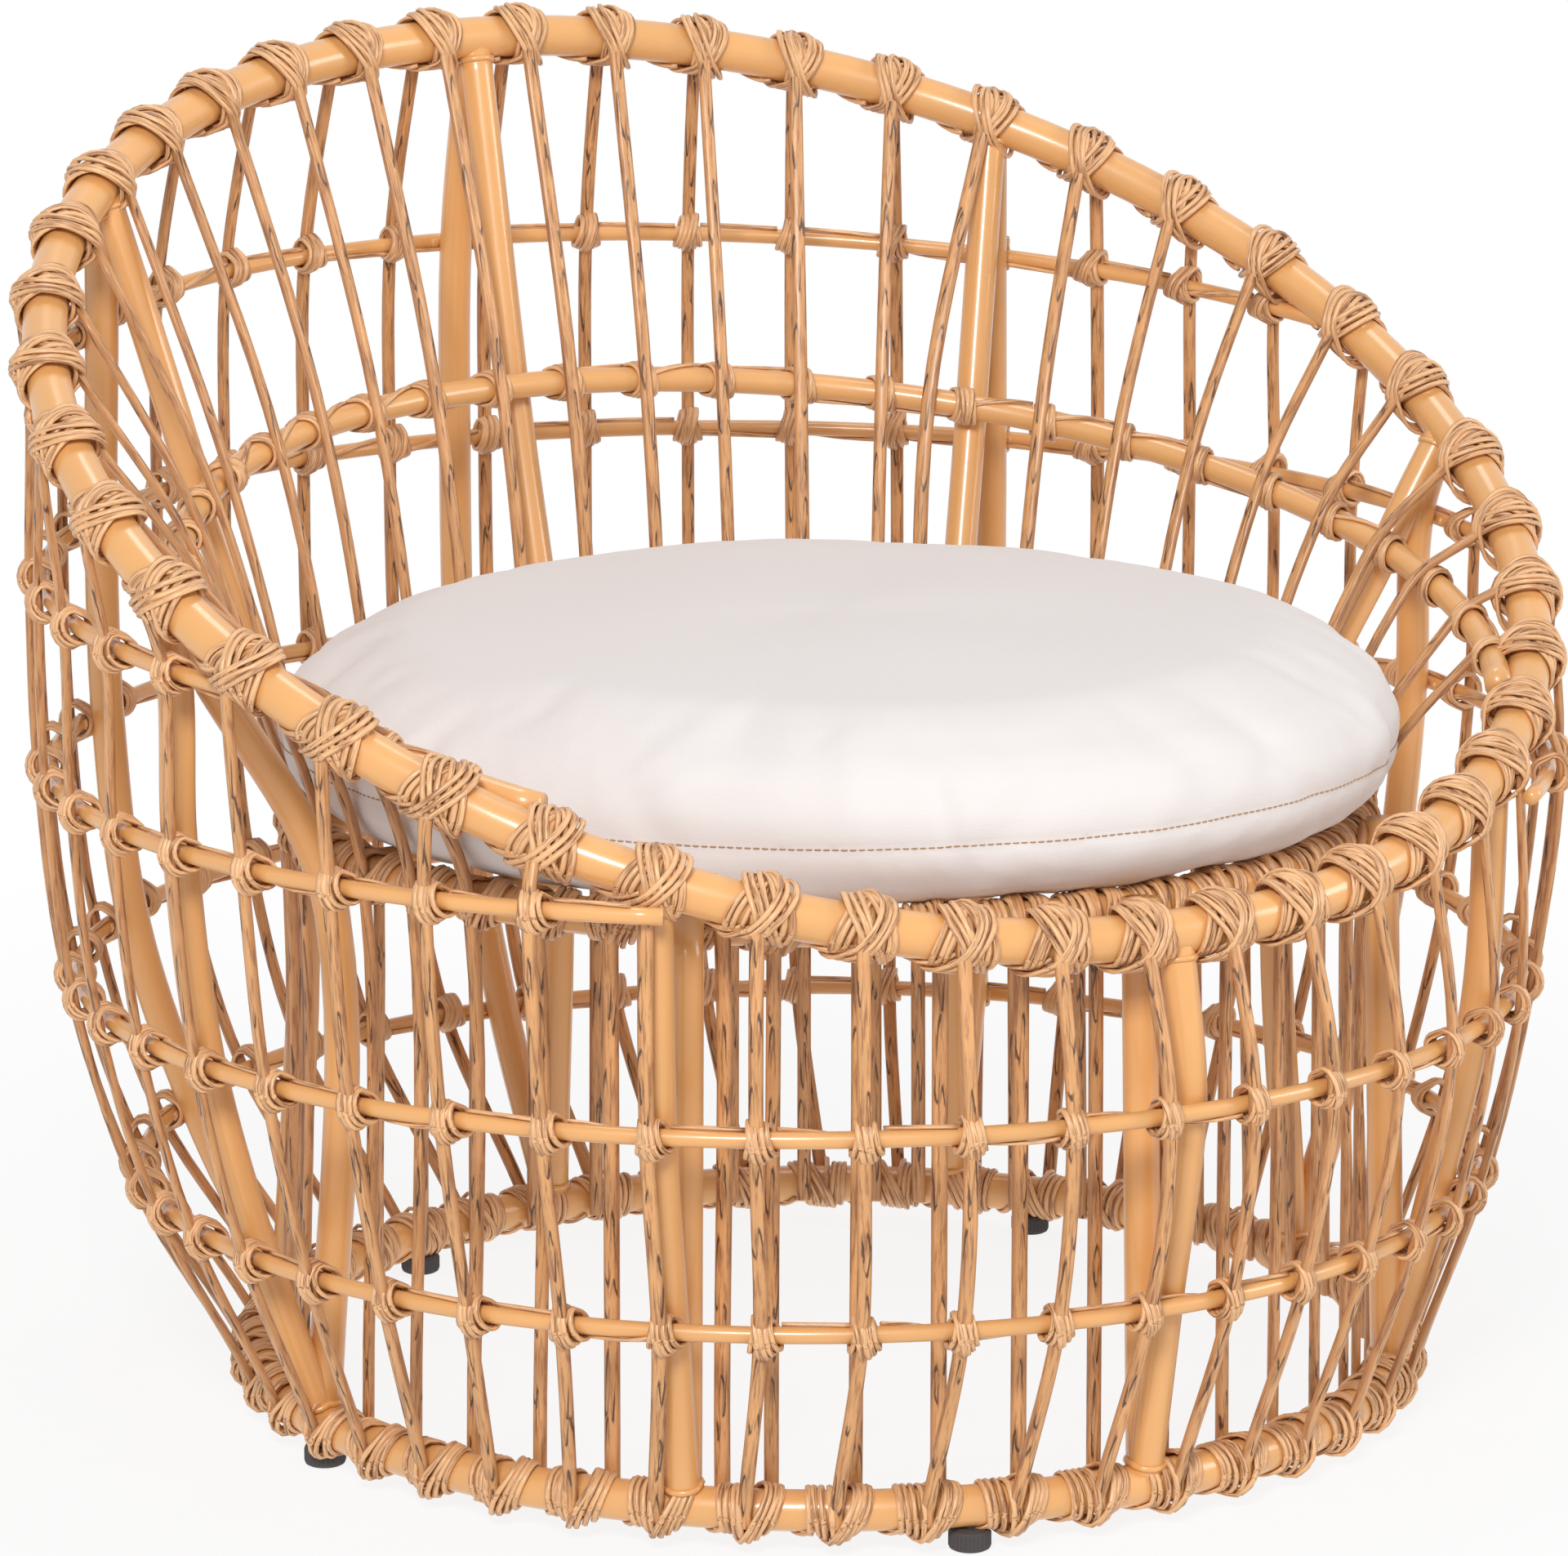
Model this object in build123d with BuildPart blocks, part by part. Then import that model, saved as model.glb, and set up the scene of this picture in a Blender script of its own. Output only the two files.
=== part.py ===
from build123d import *
import os
from dataclasses import dataclass
from math import cos, hypot, radians, sin, sqrt, tan

# Round floor-standing basket chair: a bent and welded tube frame, walled with cane, with a loose round cushion.
#
# Millimetres, +Z up. The origin is on the floor under the middle of the chair, and the chair faces -Y.
# Every ring of the frame is a circle in a plane that may be tipped about X. Angles are taken about the upright
# axis through the base ring's centre, from +X towards +Y, so the front of the chair is at 270 degrees. Tubes and
# rods are made of straight runs with many-sided sections, whose corners lie at the tube's true radius.

os.makedirs("parts", exist_ok=True)

# Tubes and rods, by diameter
rim_tube = 24.0
base_tube = 22.0
seat_tube = 20.0
upright_tube = 19.0
back_hoop_tube = 15.0
hoop_rod = 9.0
seat_bar_rod = 12.0
tube_sides = 12
rod_sides = 8

# Rings of the frame: radius, or how much less it is than the rim's, height of the centre, tip about X, and how
# far the centre lies behind the axis
rim_radius = 419.0
rim_height = 519.0
rim_tip = 27.8
rim_setback = 30.0
base_inset = 102.0
hoop_insets = (48.0, 19.0, 6.0, 4.0, 6.0)
hoop_heights = (128.0, 236.0, 353.0, 451.0, 543.0)
hoop_tips = (0.0, 0.0, 0.0, 2.4, 6.5)
first_hoop_setback = 20.0
seat_inset = 131.0
seat_height = 325.0
back_hoop_inset = 58.0
back_hoop_height = 441.0
back_hoop_tip = 12.0
back_hoop_setback = -15.0

# How far an open hoop that never comes to the rim runs past its last upright, in degrees
hoop_overrun = 1.5

# Uprights and seat bars
upright_count = 8
bend_drop = 22.0
low_rim_drop = 60.0
seat_bar_count = 5
seat_bar_spacing = 92.0

# Cane strands
strand_count = 44
strand_width = 8.0
strand_thickness = 5.0
strand_lean = 2.0
upright_berth = 3.2

# Levelling feet
foot_count = 5
foot_diameter = 23.0
foot_height = 12.0
foot_ridges = 20
stud_diameter = 8.0
stud_sides = 12
stud_length = 12.0
stud_room = 2.0

# Cushion
cushion_overhang = 24.0
cushion_forward = 12.0
cushion_side = 84.0
cushion_bulge = 28.0
cushion_crown = 18.0
side_steps = 6
crown_steps = 4

# Fits
clearance = 0.3
stud_clearance = 0.4

pitch = 360 / strand_count
first_strand = pitch / 2
sector = 360 / upright_count
seat_radius = rim_radius - seat_inset
cushion_radius = seat_radius + cushion_overhang
hoop_setbacks = [first_hoop_setback] + [rim_setback] * (len(hoop_insets) - 1)
hoop_radii = [rim_radius - inset for inset in hoop_insets]
axis_y = (hoop_radii[1] - hoop_radii[3]) / 2 - rim_setback
up_axis = Vector(0, 0, 1)


@dataclass
class Ring:
    """A circle of the frame, tipped about X, and the diameter of the tube bent along it."""

    radius: float
    height: float
    tube: float
    setback: float = 0.0
    tip: float = 0.0

    def centre(self):
        return Vector(0, axis_y + self.setback, self.height)

    def normal(self):
        return Vector(0, -sin(radians(self.tip)), cos(radians(self.tip)))

    def reach(self, angle):
        """How far the circle lies from the axis, in plan, at an angle about it."""
        depth = self.radius * cos(radians(self.tip))
        side = cos(radians(angle)) / self.radius
        front = sin(radians(angle)) / depth
        shift = self.setback / depth
        square = side**2 + front**2
        return (front * shift + sqrt((front * shift) ** 2 - square * (shift**2 - 1))) / square

    def point(self, angle, out=0.0, up=0.0):
        """The point of the circle at an angle about the axis, moved outwards in plan and upwards."""
        reach = self.reach(angle)
        rise = (reach * sin(radians(angle)) - self.setback) * tan(radians(self.tip))
        across = (reach + out) * cos(radians(angle))
        along = (reach + out) * sin(radians(angle))
        return Vector(across, axis_y + along, self.height + rise + up)


base_line = Ring(rim_radius - base_inset, foot_height + base_tube / 2, base_tube)
hoop_lines = [
    Ring(radius, height, hoop_rod, setback, tip)
    for radius, height, setback, tip in zip(hoop_radii, hoop_heights, hoop_setbacks, hoop_tips)
]
rim_line = Ring(rim_radius, rim_height, rim_tube, rim_setback, rim_tip)
seat_line = Ring(seat_radius, seat_height, seat_tube)
back_hoop_radius = rim_radius - back_hoop_inset
back_hoop_line = Ring(back_hoop_radius, back_hoop_height, back_hoop_tube, back_hoop_setback, back_hoop_tip)


def gap_to_rim(line, angle):
    """How far a ring's middle passes from the rim's, at an angle."""
    ring_point = line.point(angle)
    rim_point = rim_line.point(angle)
    return hypot(line.reach(angle) - rim_line.reach(angle), ring_point.Z - rim_point.Z)


def span_to_rim(line):
    """The span of a hoop that runs round the back and ends, on both sides, where it comes nearest to the rim."""
    end = min((step / 2 - 90 for step in range(361)), key=lambda angle: gap_to_rim(line, angle))
    return (end, 180 - end)


whole_turn = (0.0, 360.0)
hoop_spans = [
    whole_turn,
    whole_turn,
    (-sector - hoop_overrun, 180 + sector + hoop_overrun),
    span_to_rim(hoop_lines[3]),
    span_to_rim(hoop_lines[4]),
]
back_hoop_span = span_to_rim(back_hoop_line)


def within(angle, span):
    """Whether an angle lies on a hoop's span."""
    return span[0] <= angle <= span[1] or span[0] <= angle - 360 <= span[1]


def save(builder, name):
    """Label a finished piece and write it to its own file."""
    builder.part.label = name
    export_step(builder.part, f"parts/{name}.step")


def chord_sag(line):
    """How far a straight run of a ring lies inside its circle, at most."""
    return line.radius * (1 - cos(radians(pitch / 2)))


def ring_run(line, start, end, sides):
    """A stretch of a ring, as straight runs with their corners on the circle."""
    steps = max(1, round((end - start) / pitch))
    sections = []
    for step in range(steps + 1):
        corner = line.point(start + (end - start) * step / steps)
        outward = (corner - line.centre()).normalized()
        ahead = line.normal().cross(outward)
        with BuildSketch(Plane(origin=corner, x_dir=outward, z_dir=ahead)) as section:
            RegularPolygon(line.tube / 2, sides, rotation=180 / sides)
        sections.append(section.sketch)
    return loft(sections, ruled=True, mode=Mode.PRIVATE)


def closed_ring(line, sides):
    """A whole ring, in two halves joined on planes through its middle."""
    with BuildPart() as ring:
        add(ring_run(line, first_strand, first_strand + 180, sides))
        add(ring_run(line, first_strand + 180, first_strand + 360, sides))
    return ring


def coped(bar, *neighbours):
    """A bar whose ends are cut to fit its neighbours, without what lies beyond them."""
    with BuildPart() as cut:
        add(bar)
        for neighbour in neighbours:
            add(neighbour.part, mode=Mode.SUBTRACT)
    with BuildPart() as kept:
        add(cut.part.solids().sort_by(SortBy.VOLUME)[-1])
    return kept


def tube_through(points, diameter, sides):
    """A tube of straight runs, mitred at each point, with its ends square."""
    sections = []
    for index, point in enumerate(points):
        behind = (point - points[index - 1]).normalized() if index else None
        ahead = (points[index + 1] - point).normalized() if index + 1 < len(points) else behind
        facing = ahead if behind is None else (ahead + behind).normalized()
        sideways = up_axis.cross(point - Vector(0, axis_y, point.Z)).normalized()
        with BuildSketch(Plane(origin=point, x_dir=sideways, z_dir=facing)) as section:
            RegularPolygon(diameter / 2, sides, rotation=180 / sides)
        sections.append(section.sketch)
    return loft(sections, ruled=True, mode=Mode.PRIVATE)


def beside(lines, angle, index, side, half, flat=0.0):
    """The point of a path that passes one ring of a stack on its outer (1) or inner (-1) side.

    Where the path leans over the ring on its way to the next one, it stands off by more, so that its sloping
    face just clears the ring. half is the path's half thickness across its slope, flat its half width in plan.
    """
    line = lines[index]
    lean = 0.0
    for other in lines[max(index - 1, 0) : index] + lines[index + 1 : index + 2]:
        gain = side * (line.reach(angle) - other.reach(angle)) + (line.tube - other.tube) / 2
        lean = max(lean, gain / abs(line.point(angle).Z - other.point(angle).Z))
    out = (line.tube / 2 + half + clearance) * sqrt(1 + lean**2) + flat
    if side < 0:
        out += chord_sag(line)
    return line.point(angle, side * out)


def strand_through(points, angle):
    """A flattened cane strand, with a level section at each point."""
    sideways = Vector(-sin(radians(angle)), cos(radians(angle)), 0)
    sections = []
    for point in points:
        with BuildSketch(Plane(origin=point, x_dir=sideways, z_dir=up_axis)) as section:
            with BuildLine():
                Polyline(
                    (strand_width / 2, 0),
                    (strand_width / 4, strand_thickness / 2),
                    (-strand_width / 4, strand_thickness / 2),
                    (-strand_width / 2, 0),
                    (-strand_width / 4, -strand_thickness / 2),
                    (strand_width / 4, -strand_thickness / 2),
                    close=True,
                )
            make_face()
        sections.append(section.sketch)
    return loft(sections, ruled=True, mode=Mode.PRIVATE)


# Rings
top_rim = closed_ring(rim_line, tube_sides)
save(top_rim, "top_rim")

seat_ring = closed_ring(seat_line, tube_sides)
save(seat_ring, "seat_ring")

foot_angles = [180 + step * 360 / foot_count for step in range(foot_count)]
whole_base_ring = closed_ring(base_line, tube_sides)
with BuildPart() as base_ring:
    add(whole_base_ring.part)
    for angle in foot_angles:
        with BuildSketch(Plane(base_line.point(angle, up=-base_tube / 2 - 1))):
            Circle(stud_diameter / 2 + stud_clearance)
        extrude(amount=stud_length + stud_room + 1, mode=Mode.SUBTRACT)
save(base_ring, "base_ring")

# Hoops: the first two go all round, the others stop at the rim
for number, (line, span) in enumerate(zip(hoop_lines, hoop_spans), start=1):
    if span == whole_turn:
        hoop = closed_ring(line, rod_sides)
    else:
        hoop = coped(ring_run(line, *span, rod_sides), top_rim)
    save(hoop, f"hoop_{number}")

back_hoop = coped(ring_run(back_hoop_line, *back_hoop_span, rod_sides), top_rim)
save(back_hoop, "back_hoop")


def crossed_rings(angle):
    """The rings that the outer wall crosses at an angle, from the base ring up to the rim."""
    top = rim_line.point(angle).Z - rim_tube
    hoops = [line for line, span in zip(hoop_lines, hoop_spans) if within(angle, span)]
    return [base_line] + [line for line in hoops if line.point(angle).Z < top] + [rim_line]


# Uprights: the outer ones follow the hoops' inner side, the inner ones bend at the seat ring
bend_out = (seat_tube + upright_tube) / 2 + clearance
for number in range(upright_count):
    angle = number * sector
    rings = crossed_rings(angle)
    path = [base_line.point(angle)]
    path += [beside(rings, angle, index, -1, upright_tube / 2) for index in range(1, len(rings) - 1)]
    path.append(rim_line.point(angle))
    outer_upright = coped(tube_through(path, upright_tube, tube_sides), top_rim, whole_base_ring)
    save(outer_upright, f"outer_upright_{number + 1}")

    path = [base_line.point(angle)]
    if rim_line.point(angle).Z - seat_height > low_rim_drop:
        path.append(seat_line.point(angle, bend_out, -bend_drop))
        if within(angle, back_hoop_span):
            path.append(beside([seat_line, back_hoop_line, rim_line], angle, 1, 1, upright_tube / 2))
        path.append(rim_line.point(angle))
    else:
        path.append(seat_line.point(angle, bend_out, seat_tube / 2))
    bent_tube = tube_through(path, upright_tube, tube_sides)
    inner_upright = coped(bent_tube, top_rim, whole_base_ring, outer_upright)
    save(inner_upright, f"inner_upright_{number + 1}")

# Seat bars across the seat ring, flush with its top
for number in range(seat_bar_count):
    offset = (number - (seat_bar_count - 1) / 2) * seat_bar_spacing
    level = seat_height + (seat_tube - seat_bar_rod) / 2
    plane = Plane(origin=(0, axis_y + offset, level), x_dir=(0, 1, 0), z_dir=(1, 0, 0))
    with BuildPart() as seat_bar:
        with BuildSketch(plane):
            RegularPolygon(seat_bar_rod / 2, rod_sides, rotation=180 / rod_sides)
        extrude(amount=(seat_radius**2 - offset**2) ** 0.5, both=True)
        add(seat_ring.part, mode=Mode.SUBTRACT)
    save(seat_bar, f"seat_bar_{number + 1}")

# Cane: each strand runs down outside the hoops, and a second one down the inside, from the same place on the rim
half_strand = strand_thickness / 2


def clear_of_uprights(angle):
    """The angle at which an inner strand passes beside an upright in its way."""
    nearest = round(angle / sector) * sector
    if abs(angle - nearest) < upright_berth:
        return nearest + (upright_berth if angle >= nearest else -upright_berth)
    return angle


outer_panels = [[] for _ in range(upright_count)]
inner_panels = [[] for _ in range(upright_count)]
for number in range(strand_count):
    angle = first_strand + number * pitch
    panel = int(angle // sector)
    rings = crossed_rings(angle)
    path = [base_line.point(angle - strand_lean, base_tube / 2 + clearance + half_strand)]
    path += [beside(rings, angle, index, 1, 0, half_strand) for index in range(1, len(rings) - 1)]
    path.append(beside(rings, angle, len(rings) - 1, 1, 0, half_strand))
    outer_panels[panel].append(strand_through(path, angle))

    aside = clear_of_uprights(angle)
    rings = [base_line, seat_line, rim_line]
    if within(angle, back_hoop_span):
        rings.insert(2, back_hoop_line)
        if rim_line.point(angle).Z - back_hoop_line.point(angle).Z < rim_tube:
            rings.pop()
    path = [
        base_line.point(aside, -base_tube / 2 - chord_sag(base_line) - clearance - half_strand),
        beside(rings, aside, 1, 1, 0, half_strand),
    ]
    if rim_line.point(angle).Z - seat_height > low_rim_drop:
        path += [beside(rings, aside, index, -1, 0, half_strand) for index in range(2, len(rings) - 1)]
        path.append(beside(rings, angle, len(rings) - 1, -1, 0, half_strand))
    inner_panels[panel].append(strand_through(path, angle))

for prefix, panels in (("outer_cane", outer_panels), ("inner_cane", inner_panels)):
    for number, strands in enumerate(panels, start=1):
        with BuildPart() as panel:
            for strand in strands:
                add(strand)
        save(panel, f"{prefix}_{number}")

# Levelling feet: a ridged pad under the base ring, on a stud that screws into it
for number, angle in enumerate(foot_angles, start=1):
    sole = base_line.point(angle, up=-base_line.height)
    with BuildPart() as foot:
        with BuildSketch(Plane(sole)):
            for turn in range(2):
                RegularPolygon(foot_diameter / 2, foot_ridges // 2, rotation=turn * 360 / foot_ridges)
        extrude(amount=foot_height - clearance)
        with BuildSketch(Plane(sole)):
            RegularPolygon(stud_diameter / 2, stud_sides)
        extrude(amount=foot_height + stud_length)
    save(foot, f"foot_{number}")

# Cushion: flat below, bulging round the side, and crowned
cushion_z = seat_height + seat_tube / 2 + clearance
core_radius = cushion_radius - cushion_bulge
profile = [(0, 0)]
for step in range(side_steps + 1):
    turn = radians(180 * step / side_steps - 90)
    profile.append((core_radius + cushion_bulge * cos(turn), cushion_side / 2 * (1 + sin(turn))))
for step in range(1, crown_steps + 1):
    share = 1 - step / crown_steps
    profile.append((core_radius * share, cushion_side + cushion_crown * (1 - share**2)))
middle = (0, axis_y - cushion_forward, cushion_z)
with BuildPart() as seat_cushion:
    with BuildSketch(Plane(origin=middle, x_dir=(1, 0, 0), z_dir=(0, -1, 0))):
        with BuildLine():
            Polyline(profile, close=True)
        make_face()
    revolve(axis=Axis(middle, (0, 0, 1)))
save(seat_cushion, "seat_cushion")
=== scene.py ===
from math import cos, pi, radians, sin, sqrt, tan
from random import Random

import bpy
import numpy as np
from bpy.props import FloatProperty, FloatVectorProperty, IntProperty, PointerProperty
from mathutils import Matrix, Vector


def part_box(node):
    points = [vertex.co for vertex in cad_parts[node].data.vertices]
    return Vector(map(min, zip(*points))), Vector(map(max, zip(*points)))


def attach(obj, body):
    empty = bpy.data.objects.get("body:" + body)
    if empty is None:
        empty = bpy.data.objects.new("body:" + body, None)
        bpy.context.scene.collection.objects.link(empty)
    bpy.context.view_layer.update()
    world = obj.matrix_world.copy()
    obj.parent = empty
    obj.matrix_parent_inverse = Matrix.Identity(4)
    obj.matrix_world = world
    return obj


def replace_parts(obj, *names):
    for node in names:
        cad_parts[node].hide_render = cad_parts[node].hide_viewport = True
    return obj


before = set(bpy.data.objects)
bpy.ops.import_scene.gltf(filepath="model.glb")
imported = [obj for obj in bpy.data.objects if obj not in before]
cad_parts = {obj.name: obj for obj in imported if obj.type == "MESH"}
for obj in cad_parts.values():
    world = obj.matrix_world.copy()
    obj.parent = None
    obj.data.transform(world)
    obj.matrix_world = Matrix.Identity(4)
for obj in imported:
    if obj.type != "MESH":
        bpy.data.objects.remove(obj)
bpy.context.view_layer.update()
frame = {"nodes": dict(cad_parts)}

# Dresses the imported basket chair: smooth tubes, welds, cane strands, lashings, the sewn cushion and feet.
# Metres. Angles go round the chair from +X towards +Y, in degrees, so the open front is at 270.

bl_info = {
    "name": "Basket chair",
    "version": (1, 0, 0),
    "blender": (4, 5, 0),
    "location": "View3D > Sidebar > Basket chair",
    "description": "Builds a round cane basket chair on its tube frame",
    "category": "Object",
}

# The frame's sizes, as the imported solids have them

AXIS_Y = -0.0375  # where the chair's upright axis stands
STRANDS = 44
PITCH = 360 / STRANDS  # from one strand to the next
SECTOR = 45.0  # from one upright to the next
SECTORS = 8
SEAT_BARS = 5
FEET = 5
POST = 0.019  # the uprights' diameter
POST_OUT = 0.0198  # from the seat ring's circle out to the middle of an inner upright
SEAT_ROD = 0.012  # the seat bars' diameter
STRAND_THICK = 0.005
STRAND_ENDS = (-0.006, 0.004)  # heights of a strand's last two points, from the base ring's middle
FOOT_TURN = 2.0  # how far round the outer strands' feet stand from their tops
ASIDE = 3.2  # how far round from an upright the inner strands keep
GAP = 0.0003  # between a strand and a tube that it passes
LOW_RIM = 0.060  # where the rim is no higher above the seat, no inner wall joins them
RIM_ROOM = 0.024  # no hoop comes nearer to the rim


class Ring:
    """A circle of the frame, tipped about X, with its tube's radius and the stretch of it that is there."""

    def __init__(self, radius, height, tube, setback=0.0, tip=0.0, span=(0.0, 360.0)):
        self.radius = radius
        self.height = height
        self.tube = tube / 2
        self.setback = setback
        self.tip = radians(tip)
        self.span = span

    def has(self, angle):
        """Whether the ring is there at an angle."""
        return self.span[0] <= angle <= self.span[1] or self.span[0] <= angle - 360 <= self.span[1]

    def reach(self, angle):
        """How far the circle lies from the chair's axis, in plan."""
        turn = np.radians(angle)
        depth = self.radius * cos(self.tip)
        side = np.cos(turn) / self.radius
        front = np.sin(turn) / depth
        shift = self.setback / depth
        square = side**2 + front**2
        return (front * shift + np.sqrt((front * shift) ** 2 - square * (shift**2 - 1))) / square

    def point(self, angle, out=0.0, up=0.0):
        """The circle's point at an angle, moved outwards in plan and upwards."""
        turn = np.radians(angle)
        reach = self.reach(angle)
        rise = (reach * np.sin(turn) - self.setback) * tan(self.tip)
        across = (reach + out) * np.cos(turn)
        along = AXIS_Y + (reach + out) * np.sin(turn)
        return np.stack([across, along, self.height + rise + up], axis=-1)

    def about(self, angle, along, turn, lift):
        """Points round the tube, and their outward directions: along metres past an angle, turn radians up
        from the outer side, and lift metres off the tube."""
        angles = angle + np.degrees(along / self.reach(angle))
        middle = self.point(angles)
        nudge = 0.05
        ahead = self.point(angles + nudge) - self.point(angles - nudge)
        ahead /= np.linalg.norm(ahead, axis=-1, keepdims=True)
        top = np.array([0.0, -sin(self.tip), cos(self.tip)])
        outward = np.cross(ahead, top)
        facing = np.cos(turn)[:, None] * outward + np.sin(turn)[:, None] * top
        return middle + (self.tube + lift)[:, None] * facing, facing


RIM = Ring(0.419, 0.519, 0.024, 0.030, 27.8)
BASE = Ring(0.317, 0.023, 0.022)
SEAT = Ring(0.288, 0.325, 0.020)
HOOPS = [
    Ring(0.371, 0.128, 0.009, 0.020),
    Ring(0.400, 0.236, 0.009, 0.030),
    Ring(0.413, 0.353, 0.009, 0.030, 0.0, (-46.5, 226.5)),
    Ring(0.415, 0.451, 0.009, 0.030, 2.4, (-15.5, 195.5)),
    Ring(0.413, 0.543, 0.009, 0.030, 6.5, (12.0, 168.0)),
]
BACK_HOOP = Ring(0.361, 0.441, 0.015, -0.015, 12.0, (-35.5, 215.5))
STRAND_ANGLES = [PITCH / 2 + number * PITCH for number in range(STRANDS)]


# Mesh making


def link(name, data):
    """A new object in the scene, of some data."""
    made = bpy.data.objects.new(name, data)
    bpy.context.scene.collection.objects.link(made)
    return made


def points_of(piece):
    """A piece's points."""
    return np.array([vert.co[:] for vert in piece.data.vertices])


def move_points(piece, points):
    """Sets a piece's points."""
    piece.data.vertices.foreach_set("co", points.ravel())
    piece.data.update()


def new_piece(name, verts, faces, material, body="frame", slot="frame_coating", smooth=True, marks=None):
    """A shown piece from points and faces, riding on a body. marks are vectors that its material reads."""
    mesh = bpy.data.meshes.new(name)
    mesh.from_pydata([tuple(v) for v in verts], [], [tuple(f) for f in faces])
    if marks is not None:
        layer = mesh.attributes.new("strip", "FLOAT_VECTOR", "POINT")
        layer.data.foreach_set("vector", np.asarray(marks, dtype=np.float32).ravel())
    mesh.polygons.foreach_set("use_smooth", [smooth] * len(mesh.polygons))
    mesh.update()
    piece = link(name, mesh)
    mesh.materials.append(material)
    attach(piece, body)
    return piece


class Sweeps:
    """Gathers swept strips and tubes into one mesh."""

    def __init__(self):
        self.verts = []
        self.faces = []
        self.marks = []
        self.count = 0

    def add(self, points, facing, wide, thick, sides=8, closed=False, seed=0.0, boxy=1.0):
        """Sweeps an oval along points. facing is the outward direction of the strip's flat side. wide and
        thick are its full sizes. boxy under 1 squares the oval off."""
        count = len(points)
        if closed:
            ahead = np.roll(points, -1, 0) - np.roll(points, 1, 0)
            steps = np.linalg.norm(np.roll(points, -1, 0) - points, axis=1)
        else:
            ahead = np.gradient(points, axis=0)
            steps = np.linalg.norm(np.diff(points, axis=0), axis=1)
        ahead /= np.linalg.norm(ahead, axis=1, keepdims=True)
        facing = facing - (facing * ahead).sum(1, keepdims=True) * ahead
        facing /= np.linalg.norm(facing, axis=1, keepdims=True)
        across = np.cross(ahead, facing)
        turn = np.arange(sides) * 2 * pi / sides + pi / sides
        sideways = np.sign(np.cos(turn)) * np.abs(np.cos(turn)) ** boxy * wide / 2
        face = np.sign(np.sin(turn)) * np.abs(np.sin(turn)) ** boxy
        ring = (points[:, None] + across[:, None] * sideways[:, None]
                + facing[:, None] * (face * thick / 2)[:, None])
        run = np.concatenate([[0.0], np.cumsum(steps)])[:count] + seed
        marks = np.stack(np.broadcast_arrays(sideways, face, run[:, None]), axis=-1)
        self.verts.append(ring.reshape(-1, 3))
        self.marks.append(marks.reshape(-1, 3))
        around = np.arange(sides)
        after = (around + 1) % sides
        for step in range(count if closed else count - 1):
            low = self.count + step * sides
            high = self.count + ((step + 1) % count) * sides
            self.faces += np.stack([low + around, low + after, high + after, high + around], axis=1).tolist()
        if not closed:
            self.faces.append((self.count + around[::-1]).tolist())
            self.faces.append((self.count + (count - 1) * sides + around).tolist())
        self.count += count * sides

    def piece(self, name, material, **settings):
        """The gathered strips as one shown piece."""
        return new_piece(name, np.concatenate(self.verts), self.faces, material,
                         marks=np.concatenate(self.marks), **settings)


def through(points, steps):
    """A smooth line through points: a Catmull-Rom curve that allows for their spacing."""
    points = np.asarray(points, float)
    ends = np.vstack([2 * points[0] - points[1], points, 2 * points[-1] - points[-2]])
    line = []
    for index in range(1, len(ends) - 2):
        before, start, end, after = ends[index - 1 : index + 3]
        length = np.linalg.norm(end - start)
        lead = (end - before) / (np.linalg.norm(start - before) + length) * length
        leave = (after - start) / (np.linalg.norm(after - end) + length) * length
        for share in np.arange(steps) / steps:
            square = share**2
            cube = share**3
            line.append((2 * cube - 3 * square + 1) * start + (cube - 2 * square + share) * lead
                        + (-2 * cube + 3 * square) * end + (cube - square) * leave)
    line.append(points[-1])
    return np.array(line)


def crossed_rings(angle):
    """The rings that the outer wall crosses at an angle, from the base ring up to the rim."""
    top = RIM.point(angle)[2] - RIM_ROOM
    return [BASE] + [hoop for hoop in HOOPS if hoop.has(angle) and hoop.point(angle)[2] < top] + [RIM]


def beside(rings, angle, index, side, half):
    """The point of a path passing one ring of a stack on its outer (1) or inner (-1) side."""
    ring = rings[index]
    lean = 0.0
    for other in rings[max(index - 1, 0) : index] + rings[index + 1 : index + 2]:
        gain = side * (ring.reach(angle) - other.reach(angle)) + ring.tube - other.tube
        lean = max(lean, gain / abs(ring.point(angle)[2] - other.point(angle)[2]))
    return ring.point(angle, side * (ring.tube + half + GAP) * sqrt(1 + lean**2))


def lathe(profile, middle, bottom, around, ridges=0, ridged=()):
    """Points and faces of a turned shape from pairs of reach and height. ridged are those with ridges."""
    verts = []
    faces = []
    for step, (reach, level) in enumerate(profile):
        grip = 0.0006 if step in ridged else 0.0
        for k in range(around):
            turn = 2 * pi * k / around
            out = reach - grip * (0.5 - 0.5 * cos(turn * ridges))
            verts.append((middle.x + out * cos(turn), middle.y + out * sin(turn), bottom + level))
    for start in range(0, len(verts) - around, around):
        for k in range(around):
            after = (k + 1) % around
            faces.append((start + k, start + after, start + after + around, start + k + around))
    faces.append(tuple(range(around))[::-1])
    faces.append(tuple(range(len(verts) - around, len(verts))))
    return verts, faces


def packed_ends(node):
    """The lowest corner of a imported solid's box, its highest, and the middle."""
    low = Vector(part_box(node)[0])
    high = Vector(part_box(node)[1])
    return low, high, (low + high) / 2


# Shader maths


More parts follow.
